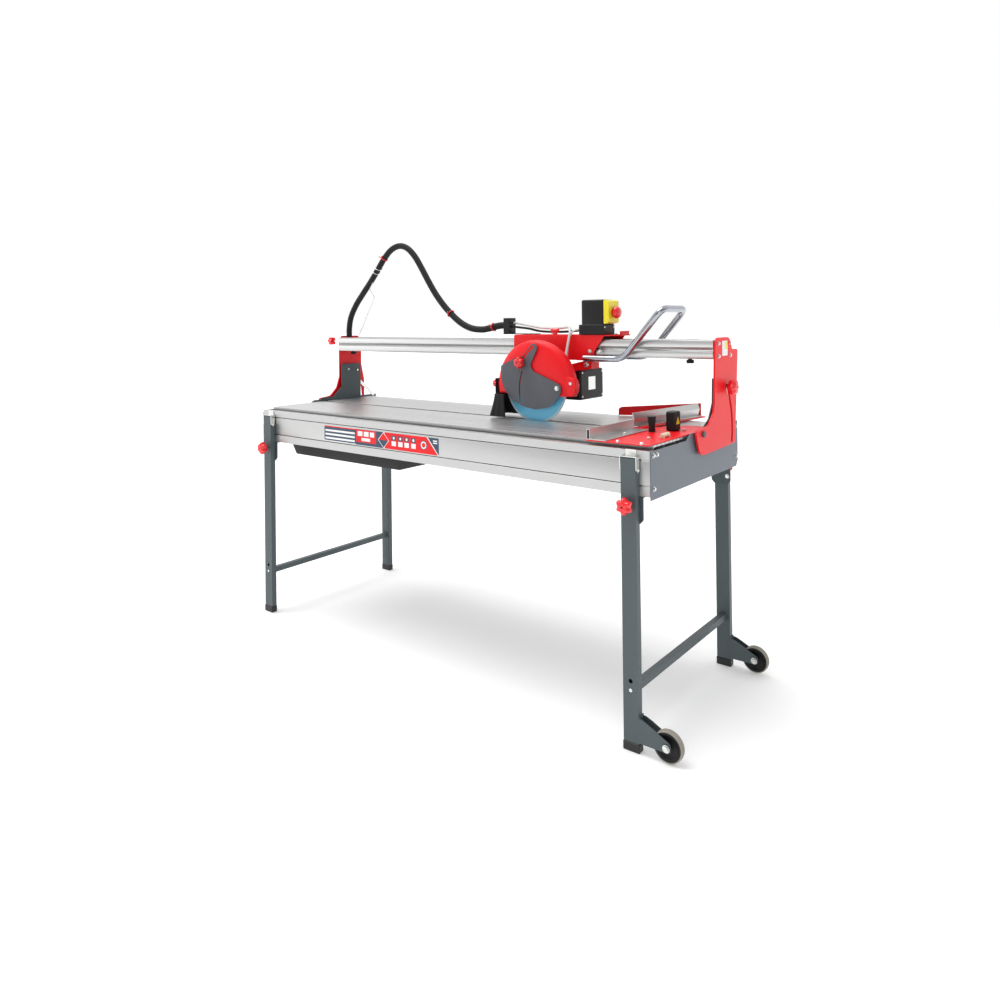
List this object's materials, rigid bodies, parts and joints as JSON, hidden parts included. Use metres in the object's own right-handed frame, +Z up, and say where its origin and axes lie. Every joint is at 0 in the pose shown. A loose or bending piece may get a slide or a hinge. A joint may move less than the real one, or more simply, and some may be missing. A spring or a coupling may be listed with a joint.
{
  "type": "wet tile saw",
  "caption": "Bridge wet tile saw: slotted table with water tank on folding legs, tilting bridge, sliding cutting head, blade guard and turning fence",
  "frame": {"origin": "on the floor, under the centre of the saw's bounding box", "axes": "+X along the cut toward the wheels, +Y to the back, +Z up"},
  "size_m": [1.894, 0.72, 1.472],
  "materials": {
    "red_paint": "gloss signal red powder coat",
    "slate_paint": "satin slate grey paint",
    "panel_paint": "satin blue-grey paint",
    "aluminium": "mill-finish extrusion",
    "black_plastic": "matte black moulding",
    "red_plastic": "red moulding",
    "grey_plastic": "grey moulding",
    "rubber": "black rubber",
    "yellow_plastic": "yellow moulding",
    "zinc": "bright zinc plate",
    "chrome": "chrome plate",
    "blade_steel": "blue steel core with a bare rim"
  },
  "bodies": {
    "frame": {"front_rail": "aluminium", "rear_rail": "aluminium", "end_panel_left": "panel_paint", "end_panel_right": "panel_paint", "table_slab_front": "aluminium", "table_slab_rear": "aluminium", "cross_bearer_left": "slate_paint", "cross_bearer_right": "slate_paint", "water_tank": "black_plastic", "water_pump": "black_plastic", "quadrant_left": "slate_paint", "quadrant_right": "slate_paint", "brace_bar": "zinc", "leg_bracket_front_left": "slate_paint", "leg_bracket_front_right": "slate_paint", "leg_bracket_rear_left": "slate_paint", "leg_bracket_rear_right": "slate_paint", "fence_plate": "red_paint", "fence_front": "aluminium", "laser_unit": "black_plastic"},
    "drain_plug": {"drain_plug": "black_plastic"},
    "legs_left": {"leg_frame_left": "slate_paint"},
    "legs_right": {"leg_frame_right": "slate_paint"},
    "wheel_front": {"wheel_front": "rubber"},
    "wheel_rear": {"wheel_rear": "rubber"},
    "mitre": {"mitre_arm": "red_paint", "mitre_fence": "aluminium"},
    "clamp_lever": {"clamp_lever": "black_plastic"},
    "bridge": {"arm_left": "red_paint", "arm_right": "red_paint", "beam": "aluminium", "conduit": "rubber"},
    "tilt_knob_left": {"tilt_knob_left": "red_plastic"},
    "tilt_knob_right": {"tilt_knob_right": "red_plastic"},
    "end_knob": {"end_knob": "red_plastic"},
    "carriage": {"carriage": "red_paint", "cable_holder": "black_plastic", "handle": "chrome", "switch_box": "black_plastic"},
    "carriage_lock_knob": {"carriage_lock_knob": "red_plastic"},
    "roller_left": {"roller_left": "grey_plastic"},
    "roller_right": {"roller_right": "grey_plastic"},
    "switch_cover": {"switch_cover": "yellow_plastic"},
    "stop_button": {"stop_button": "red_plastic"},
    "head": {"head_plate": "red_paint", "motor_housing": "black_plastic", "blade_guard": "red_paint"},
    "arbor": {"motor_shaft": "zinc", "blade": "blade_steel"},
    "lower_guard": {"lower_guard": "grey_plastic"},
    "guard_knob": {"guard_knob": "red_plastic"},
    "splash_skirt": {"splash_skirt": "rubber"},
    "leg_knob_front_left": {"leg_knob_front_left": "red_plastic"},
    "leg_clip_front_left": {"leg_clip_front_left": "zinc"},
    "leg_knob_front_right": {"leg_knob_front_right": "red_plastic"},
    "leg_clip_front_right": {"leg_clip_front_right": "zinc"},
    "leg_knob_rear_left": {"leg_knob_rear_left": "red_plastic"},
    "leg_clip_rear_left": {"leg_clip_rear_left": "zinc"},
    "leg_knob_rear_right": {"leg_knob_rear_right": "red_plastic"},
    "leg_clip_rear_right": {"leg_clip_rear_right": "zinc"}
  },
  "joints": [
    {"name": "legs_left_fold", "type": "hinge", "parent": "frame", "child": "legs_left", "pos_m": [-0.8035, 0, 0.648], "axis": [0, -1, 0], "range_deg": [0, 80]},
    {"name": "legs_right_fold", "type": "hinge", "parent": "frame", "child": "legs_right", "pos_m": [0.8035, 0, 0.648], "axis": [0, 1, 0], "range_deg": [0, 88]},
    {"name": "wheel_front_roll", "type": "hinge", "parent": "legs_right", "child": "wheel_front", "pos_m": [0.906, -0.3124, 0.0435], "axis": [0, 1, 0], "continuous": true},
    {"name": "wheel_rear_roll", "type": "hinge", "parent": "legs_right", "child": "wheel_rear", "pos_m": [0.906, 0.3124, 0.0435], "axis": [0, 1, 0], "continuous": true},
    {"name": "leg_knob_front_left_turn", "type": "hinge", "parent": "frame", "child": "leg_knob_front_left", "pos_m": [-0.8035, -0.335, 0.648], "axis": [0, -1, 0], "continuous": true},
    {"name": "leg_clip_front_left_swing", "type": "hinge", "parent": "legs_left", "child": "leg_clip_front_left", "pos_m": [-0.8035, -0.3124, 0.74], "axis": [1, 0, 0], "range_deg": [0, 95]},
    {"name": "leg_knob_front_right_turn", "type": "hinge", "parent": "frame", "child": "leg_knob_front_right", "pos_m": [0.8035, -0.335, 0.648], "axis": [0, -1, 0], "continuous": true},
    {"name": "leg_clip_front_right_swing", "type": "hinge", "parent": "legs_right", "child": "leg_clip_front_right", "pos_m": [0.8035, -0.3124, 0.74], "axis": [1, 0, 0], "range_deg": [0, 95]},
    {"name": "leg_knob_rear_left_turn", "type": "hinge", "parent": "frame", "child": "leg_knob_rear_left", "pos_m": [-0.8035, 0.335, 0.648], "axis": [0, 1, 0], "continuous": true},
    {"name": "leg_clip_rear_left_swing", "type": "hinge", "parent": "legs_left", "child": "leg_clip_rear_left", "pos_m": [-0.8035, 0.3124, 0.74], "axis": [-1, 0, 0], "range_deg": [0, 95]},
    {"name": "leg_knob_rear_right_turn", "type": "hinge", "parent": "frame", "child": "leg_knob_rear_right", "pos_m": [0.8035, 0.335, 0.648], "axis": [0, 1, 0], "continuous": true},
    {"name": "leg_clip_rear_right_swing", "type": "hinge", "parent": "legs_right", "child": "leg_clip_rear_right", "pos_m": [0.8035, 0.3124, 0.74], "axis": [-1, 0, 0], "range_deg": [0, 95]},
    {"name": "drain_plug_turn", "type": "hinge", "parent": "frame", "child": "drain_plug", "pos_m": [-0.3, 0.15, 0.612], "axis": [0, 0, 1], "continuous": true},
    {"name": "mitre_turn", "type": "hinge", "parent": "frame", "child": "mitre", "pos_m": [0.672, -0.012, 0.8038], "axis": [0, 0, 1], "range_deg": [-10, 38]},
    {"name": "clamp_lever_turn", "type": "hinge", "parent": "frame", "child": "clamp_lever", "pos_m": [0.74, -0.06, 0.8038], "axis": [0, 0, 1], "range_deg": [-60, 60]},
    {"name": "bridge_tilt", "type": "hinge", "parent": "frame", "child": "bridge", "pos_m": [0, 0, 0.8], "axis": [1, 0, 0], "range_deg": [0, 45], "deforming": ["splash_skirt"]},
    {"name": "tilt_knob_left_turn", "type": "hinge", "parent": "frame", "child": "tilt_knob_left", "pos_m": [-0.874, 0.18446, 0.92442], "axis": [-1, 0, 0], "continuous": true},
    {"name": "tilt_knob_right_turn", "type": "hinge", "parent": "frame", "child": "tilt_knob_right", "pos_m": [0.874, 0.18446, 0.92442], "axis": [1, 0, 0], "continuous": true},
    {"name": "end_knob_turn", "type": "hinge", "parent": "bridge", "child": "end_knob", "pos_m": [-0.874, 0.106, 1.056], "axis": [-1, 0, 0], "continuous": true},
    {"name": "carriage_slide", "type": "slide", "parent": "bridge", "child": "carriage", "axis": [1, 0, 0], "range_m": [-0.88, 0.24], "deforming": ["conduit"]},
    {"name": "carriage_lock_turn", "type": "hinge", "parent": "carriage", "child": "carriage_lock_knob", "pos_m": [0.285, 0.105, 1.0875], "axis": [0, 0, 1], "continuous": true},
    {"name": "roller_left_spin", "type": "hinge", "parent": "carriage", "child": "roller_left", "pos_m": [0.165, 0.1565, 1.072], "axis": [0, 1, 0], "continuous": true},
    {"name": "roller_right_spin", "type": "hinge", "parent": "carriage", "child": "roller_right", "pos_m": [0.45, 0.1565, 1.072], "axis": [0, 1, 0], "continuous": true},
    {"name": "switch_cover_flip", "type": "hinge", "parent": "carriage", "child": "switch_cover", "pos_m": [0.4975, 0.114, 1.206], "axis": [0, -1, 0], "range_deg": [0, 110]},
    {"name": "stop_button_press", "type": "slide", "parent": "switch_cover", "child": "stop_button", "axis": [-1, 0, 0], "range_m": [0, 0.003], "stiffness_N_per_m": 800},
    {"name": "head_plunge", "type": "hinge", "parent": "carriage", "child": "head", "pos_m": [0.42, 0, 0.985], "axis": [0, 1, 0], "range_deg": [0, 10]},
    {"name": "blade_spin", "type": "hinge", "parent": "head", "child": "arbor", "pos_m": [0.277, 0, 0.915], "axis": [0, 1, 0], "continuous": true},
    {"name": "lower_guard_swing", "type": "hinge", "parent": "head", "child": "lower_guard", "pos_m": [0.382, -0.0305, 0.913], "axis": [0, -1, 0], "range_deg": [0, 4]},
    {"name": "guard_knob_turn", "type": "hinge", "parent": "head", "child": "guard_knob", "pos_m": [0.23594, -0.0305, 0.99396], "axis": [0, -1, 0], "continuous": true},
    {"name": "splash_skirt_lift", "type": "slide", "parent": "head", "child": "splash_skirt", "axis": [0, 0, 1], "range_m": [0, 0.01]}
  ],
  "couplings": [
    {"joint": "roller_left_spin", "follows": "carriage_slide", "rad_per_m": 100},
    {"joint": "roller_right_spin", "follows": "carriage_slide", "rad_per_m": 100}
  ]
}
